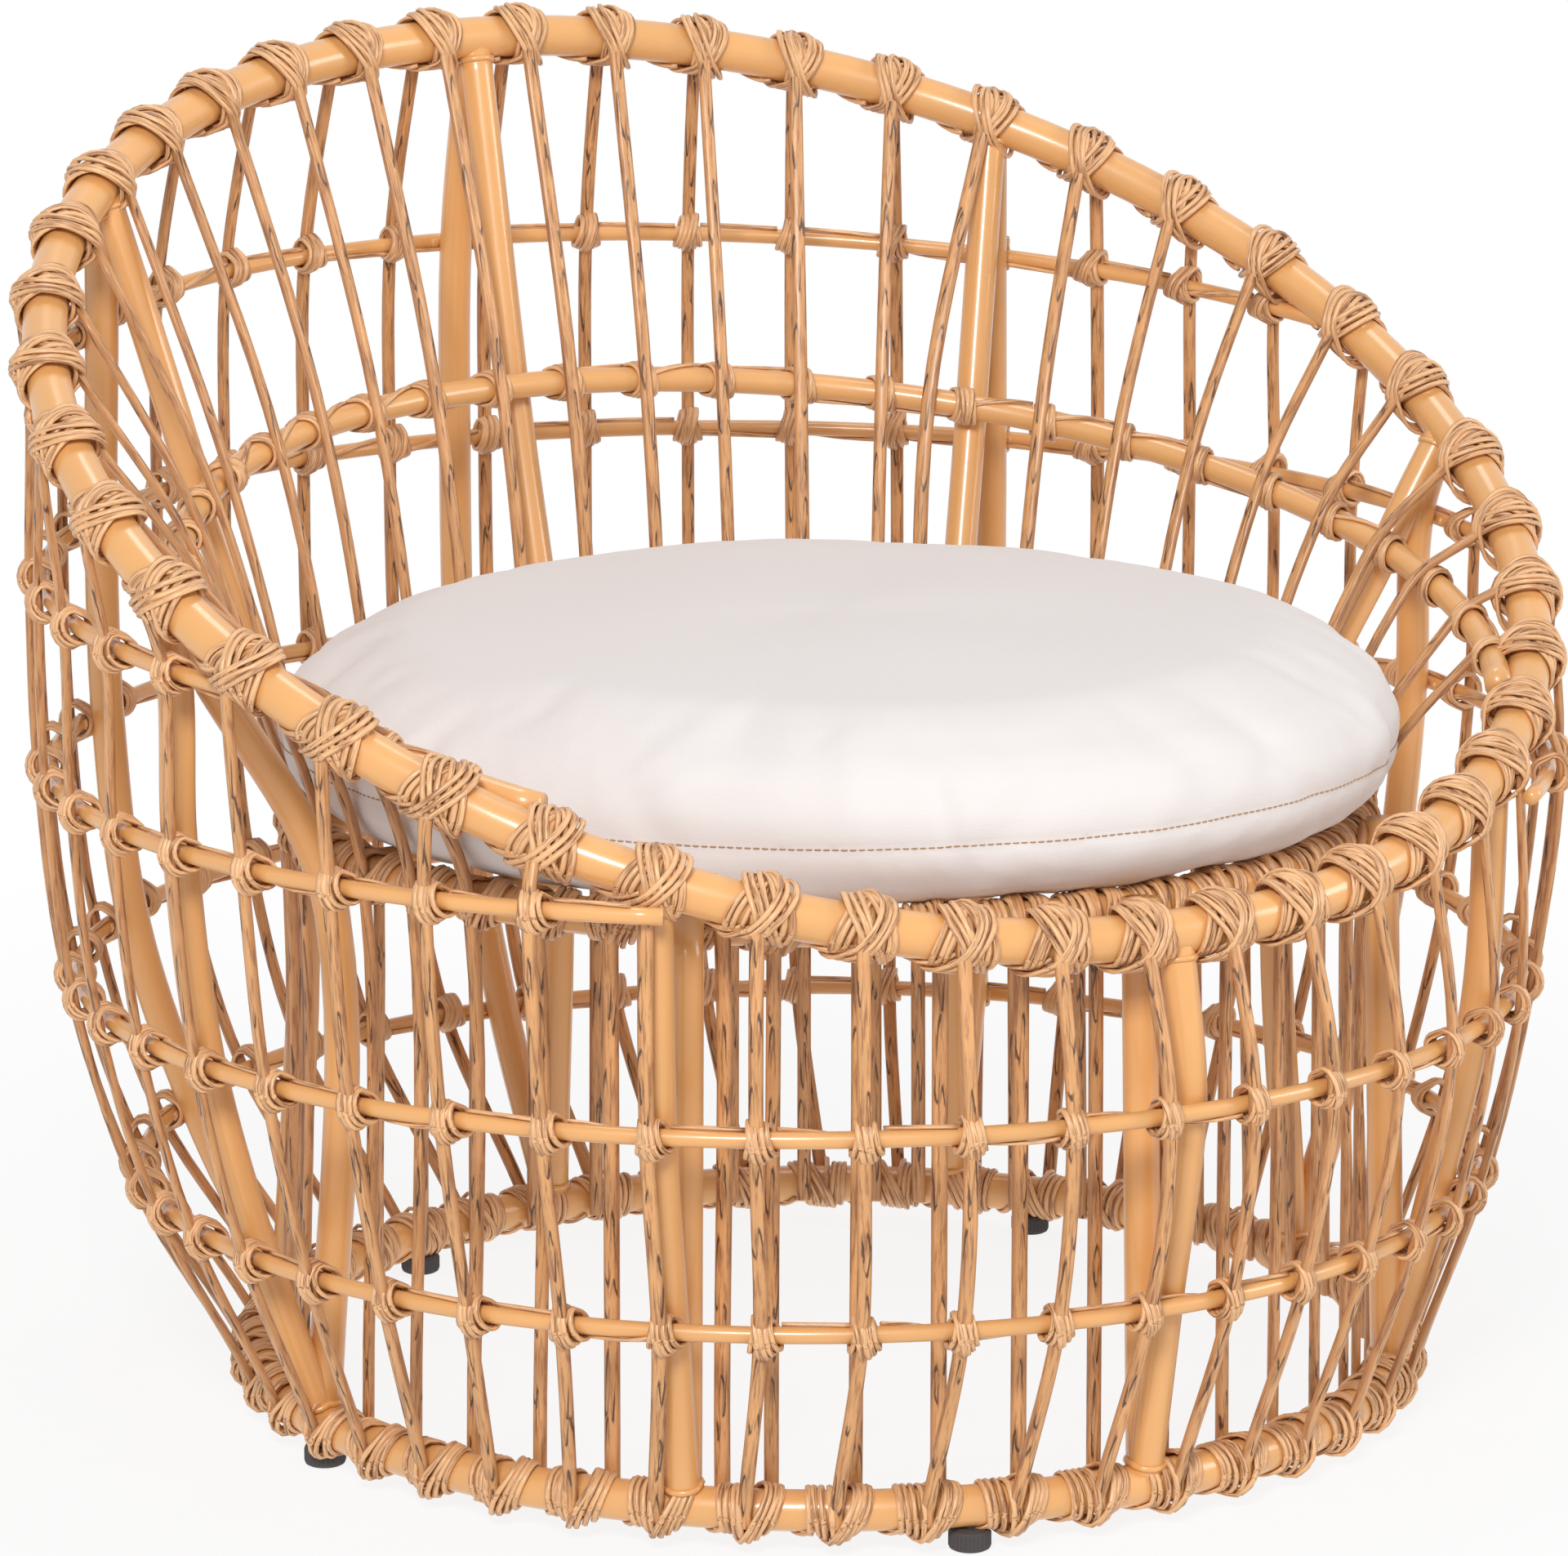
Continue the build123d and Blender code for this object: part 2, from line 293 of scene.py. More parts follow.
class Nodes:
    """A node tree, and short ways to write in it."""

    def __init__(self, tree):
        self.tree = tree

    def put(self, socket, value):
        """Links a wire to a socket, or sets the socket's own value."""
        if isinstance(value, Wire):
            self.tree.links.new(value.socket, socket)
        else:
            socket.default_value = value

    def make(self, kind, settings=None, output=0, **inputs):
        """Any node: its type, its settings, and its inputs by name, or by number as in_0. One output."""
        node = self.tree.nodes.new("ShaderNode" + kind)
        for key, value in (settings or {}).items():
            setattr(node, key, value)
        for key, value in inputs.items():
            self.put(node.inputs[int(key[3:]) if key.startswith("in_") else key.replace("_", " ")], value)
        return Wire(self, node.outputs[output])

    def place(self):
        """Where a point lies in its piece."""
        return self.make("TexCoord", None, "Object")

    def vector(self, x, y, z):
        """Three values as one vector."""
        return self.make("CombineXYZ", X=x, Y=y, Z=z)

    def parts(self, vector):
        """A vector's three parts."""
        return [self.make("SeparateXYZ", None, part, Vector=vector) for part in range(3)]

    def stretch(self, vector, *scale):
        """A vector with each of its parts scaled."""
        return self.make("VectorMath", {"operation": "MULTIPLY"}, in_0=vector, in_1=scale)

    def sine(self, value):
        """The sine of a value in radians."""
        return self.make("Math", {"operation": "SINE"}, in_0=value)

    def mix(self, factor, first, second):
        """One colour over another."""
        return self.make("Mix", {"data_type": "RGBA"}, 2, in_0=factor, in_6=first, in_7=second)

    def fade(self, value, low, high):
        """0 at low and 1 at high, smoothly, and clamped."""
        return self.make("MapRange", {"interpolation_type": "SMOOTHSTEP"}, Value=value, in_1=low, in_2=high)

    def noise(self, vector, scale, detail=2.0, rough=0.5):
        """A noise value from 0 to 1."""
        return self.make("TexNoise", Vector=vector, Scale=scale, Detail=detail, Roughness=rough)

    def bump(self, height, strength, distance):
        """A bumped normal."""
        return self.make("Bump", Height=height, Strength=strength, Distance=distance)


class Finish(Nodes):
    """A new material's nodes, round its Principled shader."""

    def __init__(self, name):
        self.material = bpy.data.materials.new(name)
        self.material.use_nodes = True
        super().__init__(self.material.node_tree)
        self.shader = self.tree.nodes["Principled BSDF"]

    def feed(self, **inputs):
        """Sets or links the shader's inputs, and gives the material."""
        for key, value in inputs.items():
            self.put(self.shader.inputs[key.replace("_", " ")], value)
        return self.material


def wire_maths(operation, swapped=False):
    """A method for Wire: a Math node of the wire and another value, the other first where swapped."""

    def method(self, other=0.0):
        pair = (other, self) if swapped else (self, other)
        return self.nodes.make("Math", {"operation": operation}, in_0=pair[0], in_1=pair[1])

    return method


class Wire:
    """A socket that Python's operators work on."""

    def __init__(self, nodes, socket):
        self.nodes = nodes
        self.socket = socket

    __add__ = wire_maths("ADD")
    __radd__ = wire_maths("ADD", swapped=True)
    __sub__ = wire_maths("SUBTRACT")
    __rsub__ = wire_maths("SUBTRACT", swapped=True)
    __mul__ = wire_maths("MULTIPLY")
    __rmul__ = wire_maths("MULTIPLY", swapped=True)
    __truediv__ = wire_maths("DIVIDE")
    __pow__ = wire_maths("POWER")
    __abs__ = wire_maths("ABSOLUTE")
    floor = wire_maths("FLOOR")
    above = wire_maths("GREATER_THAN")
    most = wire_maths("MAXIMUM")


def tone(colour, scale=1.0):
    """A colour property as a four-part colour, lighter or darker."""
    return (*[min(1.0, part * scale) for part in colour[:3]], 1.0)


def hex_colour(text):
    """A display colour such as E8B06C as linear light."""
    parts = [int(text[i : i + 2], 16) / 255 for i in (0, 2, 4)]
    return tuple(part / 12.92 if part <= 0.04045 else ((part + 0.055) / 1.055) ** 2.4 for part in parts)


def coated_metal(colours):
    """Powder-coated steel tube: an even tan coat with fine orange peel and slightly darker patches."""
    node = Finish("powder_coat")
    place = node.place()
    patches = node.noise(place, 9.0, 3.0)
    grain = node.noise(place, 1600.0)
    peel = node.noise(place, 900.0, 1.0)
    coat = node.mix(node.fade(patches, 0.35, 0.7), tone(colours.frame, 0.95), tone(colours.frame, 1.04))
    coat = node.mix(node.fade(grain, 0.5, 0.75) * 0.10, coat, tone(colours.frame, 1.3))
    return node.feed(Base_Color=coat, Roughness=0.30 + grain * 0.12, Coat_Weight=0.6, Coat_Roughness=0.16,
                     Normal=node.bump(peel, 0.16, 0.0004))


def tongue_marks(node, across, face, along, wander, spacing, way, shift):
    """Dark tongue-shaped outlines, one in each cell of a strand, in millimetres. way is 1 for tongues that
    point along the strand and -1 for the others, and shift sets rows of cells apart."""
    place = along / spacing + shift + wander * 0.25
    cell = place.floor()
    rest = (place - cell) * spacing
    if way < 0:
        rest = spacing - rest
    chance = node.make("TexWhiteNoise", {"noise_dimensions": "2D"}, 1,
                       Vector=node.vector(cell, face.above(0.0) + shift, 0.0))
    first, second, third = node.parts(chance)
    offset = across - (first - 0.5) * 5.0 + (wander - 0.5) * 1.6
    length = 8.0 + second * 22.0
    start = rest - 4.0
    opening = (start.most(0.0) / length) ** 0.55 * (0.7 + third * 1.5)
    thick = 0.20 + (1 - node.fade(start, 0.0, 12.0)) * 0.36
    edge = 1 - node.fade(abs(abs(offset) - opening), thick * 0.4, thick + 0.35)
    lopsided = 0.45 + 0.55 * ((first - 0.5) * offset).above(0.0)
    tail = 1 - node.fade(start, length * 0.35, length)
    tip = (1 - node.fade(abs(start - 0.6), 0.5, 3.2)) * (1 - node.fade(abs(offset), 0.25, 0.95))
    return (edge * tail * lopsided * start.above(0.0)).most(tip) * third.above(0.25)


def cane_skin(name, colours, base, streaks, mark_rows=()):
    """Moulded cane with lengthwise brown streaks. Each of mark_rows adds dark marks, by its cells' length in
    millimetres, way and shift, and with them the cane's edges are darker."""
    node = Finish(name)
    strip = node.make("Attribute", {"attribute_name": "strip"}, "Vector")
    across, face, along = node.parts(strip)
    across = across * 1000
    along = along * 1000
    drawn = node.vector(across, face * 2.0, along)
    streak = node.noise(node.stretch(drawn, 0.55, 0.5, 0.045), 1.0, 3.0, 0.6)
    wander = node.noise(node.stretch(drawn, 0.3, 0.5, 0.10), 1.0)
    fine = node.noise(node.stretch(drawn, 2.6, 1.0, 0.12), 1.0)
    blotch = node.noise(node.stretch(drawn, 0.1, 0.6, 0.03), 1.0, 1.0)
    skin = node.mix(node.fade(blotch, 0.3, 0.7), tone(base, 1.06), tone(base, 0.88))
    skin = node.mix(node.fade(streak, 0.47, 0.68) * streaks, skin, tone(colours.streak, 1.1))
    if mark_rows:
        skin = node.mix(node.fade(abs(across), 1.9, 4.0) * 0.35, skin, tone(colours.streak, 1.2))
    skin = node.mix(node.fade(fine, 0.52, 0.75) * 0.35 * streaks, skin, tone(colours.streak, 0.8))
    height = streak * -0.5 + 0.5
    if mark_rows:
        dark = tongue_marks(node, across, face, along, wander, *mark_rows[0])
        for row in mark_rows[1:]:
            dark = dark.most(tongue_marks(node, across, face, along, wander, *row))
        skin = node.mix(dark * 0.9, skin, tone(colours.mark))
        height = height - dark * 0.8
    return node.feed(Base_Color=skin, Roughness=0.36 + streak * 0.16, Coat_Weight=0.2, Coat_Roughness=0.2,
                     Normal=node.bump(height, 0.4, 0.0005))


def cushion_cloth(colours):
    """Off-white canvas: a fine plain weave under a faint cloud."""
    node = Finish("cushion_canvas")
    place = node.place()
    waves = [node.sine(part * 5200) for part in node.parts(place)]
    facing_up = abs(node.parts(node.make("NewGeometry", None, "Normal"))[2])
    upright = node.fade(facing_up, 0.35, 0.8)
    weave = waves[0] * waves[1] * upright + waves[2] * (1 - upright) * 0.5
    slub = node.noise(place, 420.0)
    cloud = node.noise(place, 7.0, 3.0)
    cloth = node.mix(node.fade(cloud, 0.35, 0.7), tone(colours.cushion, 0.985), tone(colours.cushion))
    cloth = node.mix(node.fade(weave, -0.4, 0.9) * 0.10, tone(colours.cushion, 0.90), cloth)
    cloth = node.mix(node.fade(weave, -1.0, 0.2), node.mix(0.94, tone(colours.cushion, 0.9), cloth), cloth)
    return node.feed(Base_Color=cloth, Roughness=0.92, Sheen_Weight=0.15, Sheen_Roughness=0.5,
                     Normal=node.bump(weave * 0.5 + slub, 0.22, 0.0003))


def stitch_thread(colours):
    """Tan sewing thread."""
    node = Finish("stitch_thread")
    twist = node.noise(node.place(), 2500.0, 1.0)
    thread = node.mix(twist, tone(colours.thread, 0.85), tone(colours.thread, 1.1))
    return node.feed(Base_Color=thread, Roughness=0.8)


def foot_plastic(colours):
    """Near-black moulded plastic with a dusty bloom."""
    node = Finish("foot_plastic")
    dust = node.noise(node.place(), 260.0, 3.0)
    plastic = node.mix(node.fade(dust, 0.4, 0.8), tone(colours.foot, 0.8), tone(colours.foot, 1.7))
    return node.feed(Base_Color=plastic, Roughness=0.55 + dust * 0.2, Normal=node.bump(dust, 0.2, 0.0004))


def pale_floor():
    """A white studio floor that keeps the chair's shadow and glows to plain white further out."""
    node = Finish("pale_floor")
    place = node.place()
    grain = node.noise(place, 40.0)
    away = node.make("VectorMath", {"operation": "LENGTH"}, "Value", in_0=place)
    node.feed(Base_Color=node.mix(grain, tone([0.84] * 3), tone([0.88] * 3)), Roughness=0.9)
    glow = node.make("Emission", Strength=1.0)
    blend = node.make("MixShader", in_0=node.fade(away, 0.45, 1.5) * 0.14 + 0.86,
                      in_1=Wire(node, node.shader.outputs[0]), in_2=glow)
    node.put(node.tree.nodes["Material Output"].inputs["Surface"], blend)
    return node.material


# Sizes and colours that a user would change


def length(name, description, default):
    """A property that holds a length."""
    return FloatProperty(name=name, description=description, default=default, unit="LENGTH")


def shade(name, description, text):
    """A property that holds a colour."""
    return FloatVectorProperty(name=name, description=description, default=hex_colour(text), subtype="COLOR")


class ChairSizes(bpy.types.PropertyGroup):
    """Sizes of the cane, the cushion and the feet."""

    strand_width: length("Strand width", "Width of a cane strand", 0.0082)
    strip_width: length("Strip width", "Width of a lashing strip", 0.0035)
    strip_thickness: length("Strip thickness", "Thickness of a lashing strip", 0.0025)
    cushion_radius: length("Cushion radius", "Half the cushion's width", 0.318)
    cushion_height: length("Cushion height", "Height of the cushion at its middle", 0.102)
    seam_height: length("Seam height", "Height of the side seam above the cushion's underside", 0.037)
    foot_ridges: IntProperty(name="Foot ridges", description="Grip ridges round a foot", default=28, min=6)


class ChairColours(bpy.types.PropertyGroup):
    """Colours of the chair's finishes."""

    frame: shade("Frame", "Powder coat", "E2A766")
    strand: shade("Strand", "Cane strands", "D79E67")
    strip: shade("Strip", "Lashing strips", "E7B583")
    streak: shade("Streak", "Streaks in the cane", "7E4C2B")
    mark: shade("Mark", "Dark marks in the cane", "3A1E12")
    cushion: shade("Cushion", "Cushion cover", "EAE4E2")
    thread: shade("Thread", "Seam stitching", "B08A62")
    foot: shade("Feet", "Foot plastic", "2A2422")


MARK_ROWS = ((52.0, 1, 0.0), (37.0, -1, 19.0), (71.0, 1, 33.0))  # cells' length in mm, way, shift


def finish_named(name):
    """A material by name, made the first time that it is asked for."""
    if name in bpy.data.materials:
        return bpy.data.materials[name]
    colours = bpy.context.scene.chair_colours
    makers = {
        "powder_coat": lambda: coated_metal(colours),
        "cane_strand": lambda: cane_skin("cane_strand", colours, colours.strand, 0.75, MARK_ROWS),
        "cane_strip": lambda: cane_skin("cane_strip", colours, colours.strip, 0.9),
        "cushion_canvas": lambda: cushion_cloth(colours),
        "stitch_thread": lambda: stitch_thread(colours),
        "foot_plastic": lambda: foot_plastic(colours),
        "pale_floor": pale_floor,
    }
    return makers[name]()


# Lashings

# Sets of turns in a knot: how many, the first one's place along the tube and the step to the next, how far
# they lean and how much more each time, how far they stand off and how much more each time, and their curl
RIM_TURNS = (
    (3, -0.0085, 0.0036, 0.0066, 0, 0.0004, 0, -1.45),
    (3, 0.0015, 0.0037, -0.0066, 0, 0.0018, 0, -1.55),
    (3, -0.0025, 0.0037, -0.0096, 0, 0.0028, 0, -0.35),
    (3, -0.0050, 0.0037, 0.0112, 0, 0.0038, 0, 0.1),
)
UNDER_TURNS = (3, -0.0040, 0.0029, 0.0040, 0, 0.0012, 0, 0.8)
OUTER_TURNS = (4, -0.0012, 0.0027, 0.0052, 0, 0.0030, -0.0004, 0.9)
INNER_TURNS = (4, -0.0012, 0.0027, 0.0052, 0, 0.0016, -0.0004, 0.9)
STRAIGHT_TURNS = (4, -0.0135, 0.0037, 0.0012, 0, 0.0002, 0, 0)
SLANTED_TURNS = (4, 0.0120, -0.0037, 0.0060, 0.0010, 0.0004, 0.0005, 0.5)
STRAND_REACH = 0.0064  # half the length of tube that a crossing strand keeps the turns off
SEEDS = 40  # metres of strip that the lashings' grain is drawn from
HOOP_TUBE = 0.009  # the tube that the hoop knots' sizes are given for


def jog(rng, size):
    """A small random shift to either side."""
    return (rng.random() - 0.5) * size


def lashing_loop(sweeps, ring, angle, centre, slant, lift, rng, over, over_turn, reach, curl=0.0, steps=20):
    """One turn of strip round a tube. slant is how far it leans along the tube to either side of centre, and
    curl, in radians, how early it reaches its furthest point, which rounds that end. over is how far it
    stands off the tube for the strand that crosses it at over_turn, within reach radians of that."""
    sizes = bpy.context.scene.chair_sizes
    turn = np.arange(steps) * 2 * pi / steps
    away = np.angle(np.exp(1j * (turn - over_turn)))
    near = np.clip((reach - np.abs(away)) / 0.6, 0, 1)
    along = centre + slant * np.sin(turn + curl)
    hump = over * np.exp(-((along / STRAND_REACH) ** 4)) * near
    points, facing = ring.about(angle, along, turn, lift + sizes.strip_thickness * 0.42 + hump)
    width = sizes.strip_width * (0.9 + 0.2 * rng.random())
    sweeps.add(points, facing, width, sizes.strip_thickness, 6, closed=True, seed=rng.random() * SEEDS)


def turns(sweeps, ring, angle, rng, row, over, loose=0.0010, way=1, spread=1):
    """A set of turns. over says how they pass the strand, loose how unevenly they lie, and way 1 or -1 to
    which side they lean. spread is how much wider than the given sizes they lie."""
    count, first, step, slant, more, lift, rise, curl = row
    for index in range(count):
        centre = first + index * step + jog(rng, loose)
        lean = way * (slant + index * more + jog(rng, loose)) * spread
        lashing_loop(sweeps, ring, angle, centre, lean, lift + index * rise, rng,
                     curl=way * curl / spread**2, **over)


def linking_strip(sweeps, ring, angle, start, end, turn_from, turn_to, lift, rng, steps=14):
    """A strip that runs along a tube from one knot to the next, winding part of the way round it."""
    sizes = bpy.context.scene.chair_sizes
    share = np.linspace(0, 1, steps)
    along = start + (end - start) * share
    turn = turn_from + (turn_to - turn_from) * share
    points, facing = ring.about(angle, along, turn, np.full(steps, lift + sizes.strip_thickness * 0.4))
    sweeps.add(points, facing, sizes.strip_width, sizes.strip_thickness * 0.9, 6, seed=rng.random() * SEEDS)


def rim_knot(sweeps, ring, angle, rng):
    """The woven knot over the rim: turns beside the strand, then slanting sets that cross over it."""
    over = {"over": 0.0026, "over_turn": pi / 2, "reach": 2.4, "steps": 26}
    for row in RIM_TURNS:
        turns(sweeps, ring, angle, rng, row, over)
    for index in range(2):
        linking_strip(sweeps, ring, angle, 0.013, 0.046 + index * 0.004, -2.4, -0.1 + jog(rng, 0.3),
                      0.0003 + index * 0.0006, rng)


def hoop_knot(sweeps, ring, angle, rng, side=1):
    """The knot where a strand passes a hoop, on its outer (1) or inner (-1) side: a tight ball of turns."""
    turn = 0.0 if side > 0 else pi
    over = {"over": STRAND_THICK - 0.0004 if side > 0 else 0.0006, "over_turn": turn, "reach": 1.7}
    spread = ring.tube / HOOP_TUBE
    turns(sweeps, ring, angle, rng, UNDER_TURNS, over, 0.0008, -side, spread)
    turns(sweeps, ring, angle, rng, OUTER_TURNS if side > 0 else INNER_TURNS, over, 0.0008, side, spread)
    gap = np.radians(PITCH) * ring.reach(angle)
    start = turn + pi + rng.choice((-1.2, 1.0)) + jog(rng, 0.5)
    end = start + rng.choice((-0.5, 1.4))
    linking_strip(sweeps, ring, angle, 0.010, gap - 0.006, start, end, 0.0002, rng, 12)


def ring_knot(sweeps, ring, angle, rng):
    """The knot where a strand ends on the base ring or the seat ring: straight turns, then slanting ones."""
    over = {"over": STRAND_THICK - 0.0006, "over_turn": 0.0, "reach": 1.6}
    turns(sweeps, ring, angle, rng, STRAIGHT_TURNS, over, way=-1)
    turns(sweeps, ring, angle, rng, SLANTED_TURNS, over)
    linking_strip(sweeps, ring, angle, 0.016, 0.034, -2.6, -0.6, 0.0003, rng, 10)


# Operators: one for each piece or group of like pieces


class TubeMaker:
    """What the operators for tubes share."""

    def tube(self, name, line, facing, diameter, node, sides=20, closed=False):
        """A tube along a line, that stands for its node."""
        sweeps = Sweeps()
        sweeps.add(line, facing, diameter, diameter, sides, closed=closed)
        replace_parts(sweeps.piece(name, finish_named("powder_coat")), node)

    def ring_tube(self, name, ring, node, sides=20):
        """A ring or hoop as a smooth tube that stands for its node."""
        closed = ring.span == (0.0, 360.0)
        steps = 176 if closed else int((ring.span[1] - ring.span[0]) / 2)
        points = ring.point(np.linspace(*ring.span, steps, endpoint=not closed))
        facing = points - np.array([0, AXIS_Y + ring.setback, ring.height])
        self.tube(name, points, facing, ring.tube * 2, node, sides, closed)

    def post(self, name, path, node):
        """A bent upright that stands for its node."""
        line = through(path, 10)
        facing = line - np.array([0, AXIS_Y, 0])
        facing[:, 2] = 0
        self.tube(name, line, facing, POST, node)


class CHAIR_OT_rings(bpy.types.Operator, TubeMaker):
    """Make the rim, the seat ring, the base ring and the hoops"""

    bl_idname = "chair.rings"
    bl_label = "Rings and hoops"

    def execute(self, context):
        self.ring_tube("rim_tube", RIM, "top_rim", 28)
        self.ring_tube("seat_tube", SEAT, "seat_ring")
        self.ring_tube("base_tube", BASE, "base_ring")
        self.ring_tube("back_hoop_tube", BACK_HOOP, "back_hoop")
        for number, hoop in enumerate(HOOPS, start=1):
            self.ring_tube(f"hoop_rod_{number}", hoop, f"hoop_{number}", 14)
        return {"FINISHED"}


def post_half(ring):
    """Half an upright's thickness, and how far a ring's straight stretches between strands cut inside it."""
    return POST / 2 + ring.radius * (1 - cos(radians(PITCH / 2)))


def upright_paths(number):
    """The middle lines of the outer and inner uprights at one of the eight places round the chair."""
    angle = number * SECTOR
    rings = crossed_rings(angle)
    outer = [BASE.point(angle)]
    for index in range(1, len(rings) - 1):
        outer.append(beside(rings, angle, index, -1, post_half(rings[index])))
    outer.append(RIM.point(angle))
    inner = [BASE.point(angle)]
    if RIM.point(angle)[2] - SEAT.height > LOW_RIM:
        inner.append(SEAT.point(angle, POST_OUT, -0.022))
        if BACK_HOOP.has(angle):
            inner.append(beside([SEAT, BACK_HOOP, RIM], angle, 1, 1, post_half(BACK_HOOP)))
        inner.append(RIM.point(angle))
    else:
        inner.append(SEAT.point(angle, POST_OUT, 0.010))
    return outer, inner


class CHAIR_OT_uprights(bpy.types.Operator, TubeMaker):
    """Make the bent uprights and the seat bars"""

    bl_idname = "chair.uprights"
    bl_label = "Uprights and seat bars"

    def execute(self, context):
        for number in range(SECTORS):
            outer, inner = upright_paths(number)
            self.post(f"outer_post_{number + 1}", outer, f"outer_upright_{number + 1}")
            self.post(f"inner_post_{number + 1}", inner, f"inner_upright_{number + 1}")
        joint = 0.002
        for number in range(1, SEAT_BARS + 1):
            low, high, middle = packed_ends(f"seat_bar_{number}")
            left = np.array([low.x - joint, middle.y, middle.z])
            right = np.array([high.x + joint, middle.y, middle.z])
            line = np.linspace(left, right, 8)
            upward = np.tile([0.0, 0.0, 1.0], (8, 1))
            self.tube(f"seat_rod_{number}", line, upward, SEAT_ROD, f"seat_bar_{number}", 16)
        return {"FINISHED"}


class CHAIR_OT_welds(bpy.types.Operator):
    """Make the weld beads where the tubes meet"""

    bl_idname = "chair.welds"
    bl_label = "Weld beads"

    def bead(self, sweeps, path, far, rng):
        """A rough bead round a post, far along its path from the path's first point."""
        axis = (path[1] - path[0]) / np.linalg.norm(path[1] - path[0])
        middle = path[0] + axis * far
        side = np.cross(axis, [0.3, 0.5, 0.9])
        side /= np.linalg.norm(side)
        other = np.cross(axis, side)
        turn = np.arange(24) * 2 * pi / 24
        ripple = 1 + np.array([jog(rng, 0.05) for _ in turn])
        facing = np.cos(turn)[:, None] * side + np.sin(turn)[:, None] * other
        thick = 0.0028
        radius = 0.0097
        sweeps.add(middle + facing * (radius * ripple)[:, None], facing, thick * 1.3, thick, 6, closed=True)

    def tack(self, sweeps, hoop, angle, way):
        """A short lump of weld where a hoop leaves a post, on one side of it (1 or -1)."""
        along = np.array([way * 0.0085] * 6) + np.linspace(-0.002, 0.002, 6)
        points, facing = hoop.about(angle, along, np.full(6, pi), np.full(6, -0.0006))
        sweeps.add(points, facing, 0.006, 0.0045, 6)

    def execute(self, context):
        rng = Random(11)
        sweeps = Sweeps()
        for number in range(SECTORS):
            angle = number * SECTOR
            for path in upright_paths(number):
                path = np.array(path)
                self.bead(sweeps, path, 0.0125, rng)
                if np.linalg.norm(path[-1] - RIM.point(angle)) < 1e-6:
                    self.bead(sweeps, path[::-1], 0.0132, rng)
            for hoop in crossed_rings(angle)[1:-1]:
                for way in (-1, 1):
                    self.tack(sweeps, hoop, angle, way)
        sweeps.piece("weld_beads", finish_named("powder_coat"))
        return {"FINISHED"}


class CHAIR_OT_strands(bpy.types.Operator):
    """Make the cane strands, each one up the outside, over the rim and down the inside"""

    bl_idname = "chair.strands"
    bl_label = "Cane strands"

    def outside(self, angle):
        """The strand's middle line up the outside, to the rim's outer side."""
        rings = crossed_rings(angle)
        path = [BASE.point(angle - FOOT_TURN, 0.0137, height) for height in STRAND_ENDS]
        return path + [beside(rings, angle, index, 1, STRAND_THICK / 2) for index in range(1, len(rings))]

    def inside(self, angle):
        """The middle line up the inside, from the base ring, and whether it goes on to the rim."""
        nearest = round(angle / SECTOR) * SECTOR
        aside = angle
        if abs(angle - nearest) < ASIDE:
            aside = nearest + (ASIDE if angle >= nearest else -ASIDE)
        rings = [BASE, SEAT, RIM]
        half = STRAND_THICK / 2
        if BACK_HOOP.has(angle):
            rings.insert(2, BACK_HOOP)
            if RIM.point(angle)[2] - BACK_HOOP.point(angle)[2] < RIM_ROOM:
                rings.pop()
        path = [BASE.point(aside, -0.0146, height) for height in STRAND_ENDS]
        path.append(beside(rings, aside, 1, 1, half))
        joined = RIM.point(angle)[2] - SEAT.height > LOW_RIM
        if joined:
            path += [beside(rings, aside, index, -1, half) for index in range(2, len(rings) - 1)]
            path.append(beside(rings, angle, len(rings) - 1, -1, half))
        return path, joined

    def bend(self, ring, angle, turns, lift):
        """Points over a ring at some turns round its tube."""
        points, _ = ring.about(angle, np.zeros(len(turns)), np.array(turns), np.full(len(turns), lift))
        return list(points)

    def runs(self, angle):
        """The lines of the strand or strands at an angle."""
        up = self.outside(angle)
        down, joined = self.inside(angle)
        arch = [0.5, 1.05, 1.57, 2.1] + ([2.65] if joined else [2.7, 3.3])
        first = up + self.bend(RIM, angle, arch, 0.0012)
        if joined:
            return [first + down[::-1]]
        return [first, down + self.bend(SEAT, angle, [0.7, 1.4, 2.1], STRAND_THICK / 2 + GAP)]

    def add_strand(self, sweeps, run, angle, rng):
        """Sweeps one run, with a slight waver, as a strip whose flat side faces away from the wall."""
        line = through(run, 7)
        low_part = (len(crossed_rings(angle)) + 1) * 4
        waver = jog(rng, 0.0030)
        sway = np.sin(np.linspace(0, rng.uniform(3, 6) * pi, len(line))) * waver
        outward = np.array([cos(radians(angle)), sin(radians(angle)), 0.0])
        side = np.array([-sin(radians(angle)), cos(radians(angle)), 0.0])
        line = line + sway[:, None] * side * np.sin(np.linspace(0, pi, len(line)))[:, None]
        facing = np.cross(np.gradient(line, axis=0), np.tile(side, (len(line), 1)))
        facing *= np.sign((facing[:low_part] @ outward).sum()) or 1.0
        width = bpy.context.scene.chair_sizes.strand_width * (0.93 + 0.14 * rng.random())
        sweeps.add(line, facing, width, STRAND_THICK, 12, seed=rng.random() * 90, boxy=0.85)

    def execute(self, context):
        rng = Random(7)
        for panel in range(SECTORS):
            sweeps = Sweeps()
            for angle in [a for a in STRAND_ANGLES if int(a // SECTOR) == panel]:
                for run in self.runs(angle):
                    self.add_strand(sweeps, run, angle, rng)
            piece = sweeps.piece(f"cane_strands_{panel + 1}", finish_named("cane_strand"), slot="cane")
            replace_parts(piece, f"outer_cane_{panel + 1}", f"inner_cane_{panel + 1}")
        return {"FINISHED"}


